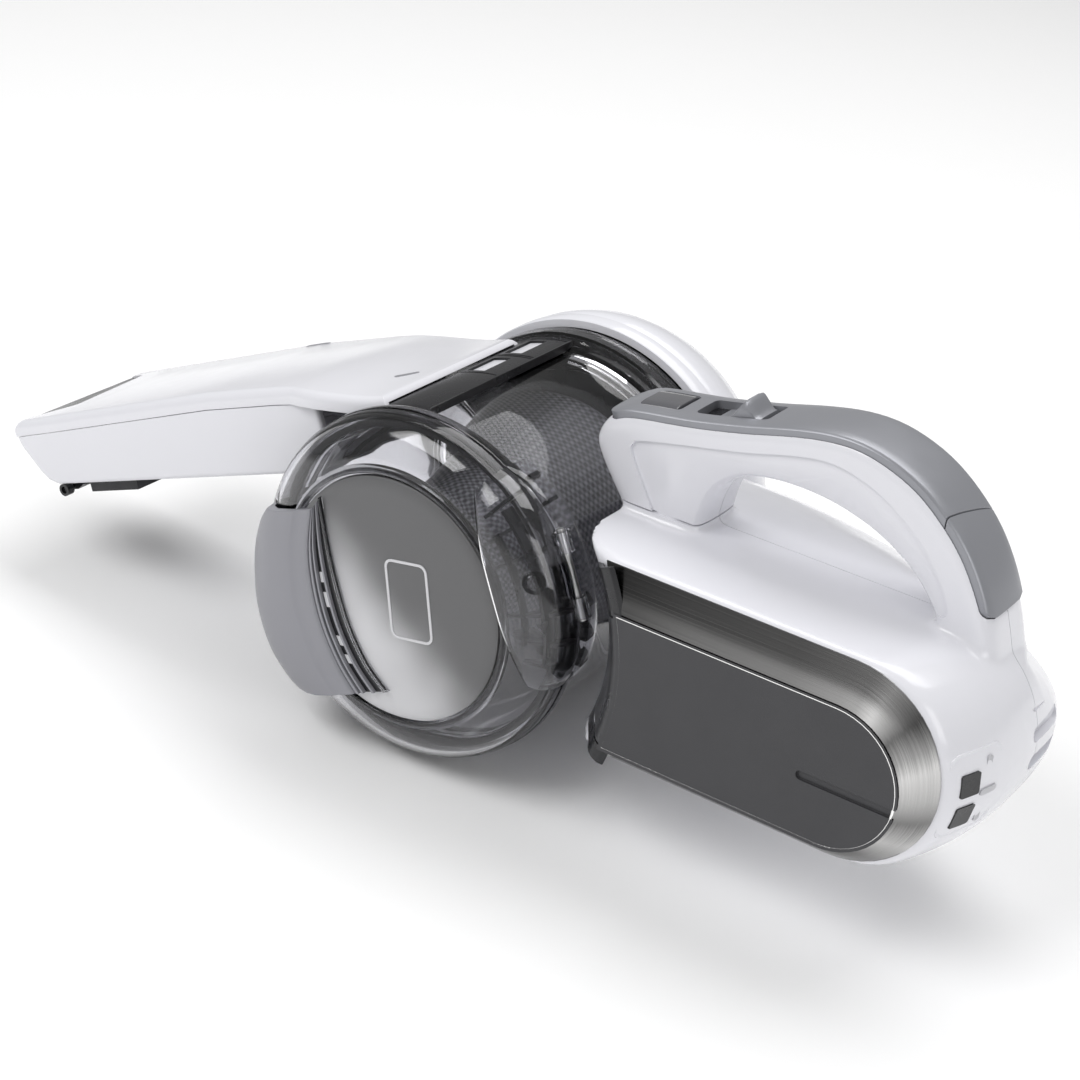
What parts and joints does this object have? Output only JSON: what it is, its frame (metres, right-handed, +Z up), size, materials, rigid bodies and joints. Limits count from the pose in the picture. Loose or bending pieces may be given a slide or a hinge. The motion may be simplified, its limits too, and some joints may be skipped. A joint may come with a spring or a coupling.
{
  "type": "handheld vacuum cleaner",
  "caption": "Cordless hand vacuum with a swivelling nozzle and round clear dust bowl on a side-hinged door, a body with a loop handle and a slide switch on the grip.",
  "frame": {"origin": "centre of the base of the bounding box, with the nozzle in the pictured position", "axes": "+X runs from the nozzle to the back of the handle, +Y runs along the pivot axis from the bowl door to the motor, +Z is up"},
  "size_m": [0.4488, 0.18, 0.1696],
  "materials": {
    "white_plastic": "gloss, moulded",
    "silver_plastic": "satin silver-grey",
    "charcoal_plastic": "fine-textured dark grey",
    "brushed_trim": "brushed along its length",
    "smoke_clear": "clear, smoke tint",
    "frosted_clear": "frosted, see-through",
    "black_plastic": "satin black",
    "black_rubber": "matt",
    "latch_grey": "satin mid grey",
    "smoke_lens": "smoke tint",
    "steel": "plain",
    "cell_wrap": "shrink wrap over a steel can",
    "board_green": "circuit board",
    "filter_mesh_grey": "textured",
    "filter_paper": "pleated filter medium",
    "bristle_dark": "bristle tufts"
  },
  "bodies": {
    "housing": {"housing_left": "white_plastic", "housing_right": "white_plastic", "trim_left": "brushed_trim", "side_panel_left": "charcoal_plastic", "handle_insert_upper": "silver_plastic", "handle_insert_lower": "silver_plastic", "indicator_lens": "smoke_lens", "slider_plate": "black_plastic", "contact_panel": "white_plastic", "charge_contact_lower": "black_plastic", "charge_contact_upper": "black_plastic", "battery_cell_1": "cell_wrap", "battery_cell_2": "cell_wrap", "battery_cell_3": "cell_wrap", "battery_cell_4": "cell_wrap", "battery_cell_5": "cell_wrap", "battery_tray": "black_plastic", "control_board": "board_green", "power_switch": "black_plastic", "motor_drum": "white_plastic", "fan_shroud": "black_plastic", "motor_can": "steel", "motor_bracket": "black_plastic", "motor_mount": "black_rubber", "pivot_ring": "black_plastic", "pivot_seal": "black_rubber"},
    "rotor": {"motor_shaft": "steel", "impeller": "latch_grey"},
    "switch": {"power_slider": "silver_plastic"},
    "head": {"bowl_shell": "smoke_clear", "collar": "black_plastic", "hinge_housing": "smoke_clear", "hinge_knuckle_upper": "smoke_clear", "hinge_knuckle_lower": "smoke_clear", "hinge_pin": "steel", "nozzle_upper": "white_plastic", "nozzle_lower": "white_plastic", "brush_bracket_near": "black_plastic", "brush_bracket_far": "black_plastic", "filter_frame": "black_plastic", "filter_mesh": "filter_mesh_grey", "filter_pleats": "filter_paper"},
    "flap": {"inlet_flap": "black_rubber"},
    "brush": {"brush_bar": "black_plastic", "brush_bristles": "bristle_dark"},
    "door": {"door_shell": "smoke_clear", "door_disc": "frosted_clear", "door_seal": "black_rubber", "door_badge": "latch_grey"},
    "latch": {"door_latch": "latch_grey"}
  },
  "joints": [
    {"name": "nozzle_pivot", "type": "hinge", "parent": "housing", "child": "head", "pos_m": [-0.00164, -0.027, 0.071], "axis": [0, 1, 0], "range_deg": [-158, 42]},
    {"name": "rotor_spin", "type": "hinge", "parent": "housing", "child": "rotor", "pos_m": [-0.00164, 0.061, 0.071], "axis": [0, 1, 0], "continuous": true},
    {"name": "power_slide", "type": "slide", "parent": "housing", "child": "switch", "axis": [-0.9763, 0, -0.2164], "range_m": [0, 0.005]},
    {"name": "inlet_flap_hinge", "type": "hinge", "parent": "head", "child": "flap", "pos_m": [-0.03384, -0.017, 0.12001], "axis": [0, -1, 0], "range_deg": [0, 14], "stiffness_Nm_per_rad": 0.01, "springref_deg": -11.46},
    {"name": "brush_flip", "type": "hinge", "parent": "head", "child": "brush", "pos_m": [-0.19793, -0.0175, 0.03452], "axis": [0, 1, 0], "range_deg": [0, 165]},
    {"name": "door_hinge", "type": "hinge", "parent": "head", "child": "door", "pos_m": [0.06322, -0.068, 0.09988], "axis": [-0.4067, 0, 0.9135], "range_deg": [0, 75]},
    {"name": "latch_press", "type": "slide", "parent": "door", "child": "latch", "axis": [-0.9367, 0, -0.3502], "range_m": [0, 0.0015], "stiffness_N_per_m": 800, "springref_m": -0.001}
  ]
}
